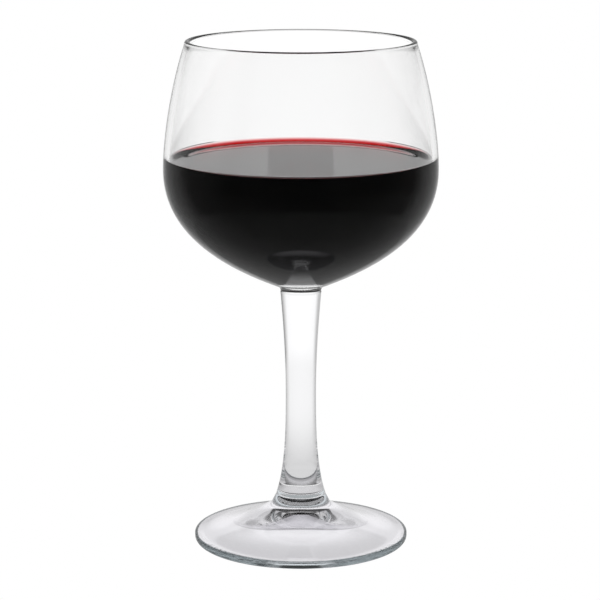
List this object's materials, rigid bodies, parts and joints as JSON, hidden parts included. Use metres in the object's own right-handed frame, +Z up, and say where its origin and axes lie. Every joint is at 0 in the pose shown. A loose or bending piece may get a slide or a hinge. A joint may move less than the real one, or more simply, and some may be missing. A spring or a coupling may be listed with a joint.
{
  "type": "wine glass",
  "caption": "Stemmed wine glass with a full rounded bowl that narrows to a beaded rim, a waisted stem and a wide flared foot, holding red wine up to the bowl's widest point.",
  "frame": {"origin": "on the glass's axis, in the plane that the foot stands on", "axes": "+Z up along the axis of the stem and bowl; +X and +Y are any two square directions across, because every piece is turned"},
  "size_m": [0.093, 0.093, 0.173],
  "materials": {
    "bowl_glass": "clear soda-lime glass, blown, with a fire-polished rim",
    "stem_glass": "clear soda-lime glass, drawn and fire-polished",
    "foot_glass": "clear soda-lime glass, pressed and fire-polished",
    "red_wine": "still red wine: clear liquid, almost black where it is deep, red where it is thin"
  },
  "bodies": {
    "glass": {"bowl": "bowl_glass", "stem": "stem_glass", "foot": "foot_glass"},
    "wine": {"wine": "red_wine"}
  },
  "joints": [
    {"name": "wine_swirl", "type": "hinge", "parent": "glass", "child": "wine", "pos_m": [0, 0, 0.1135], "axis": [0, 0, 1], "continuous": true}
  ]
}
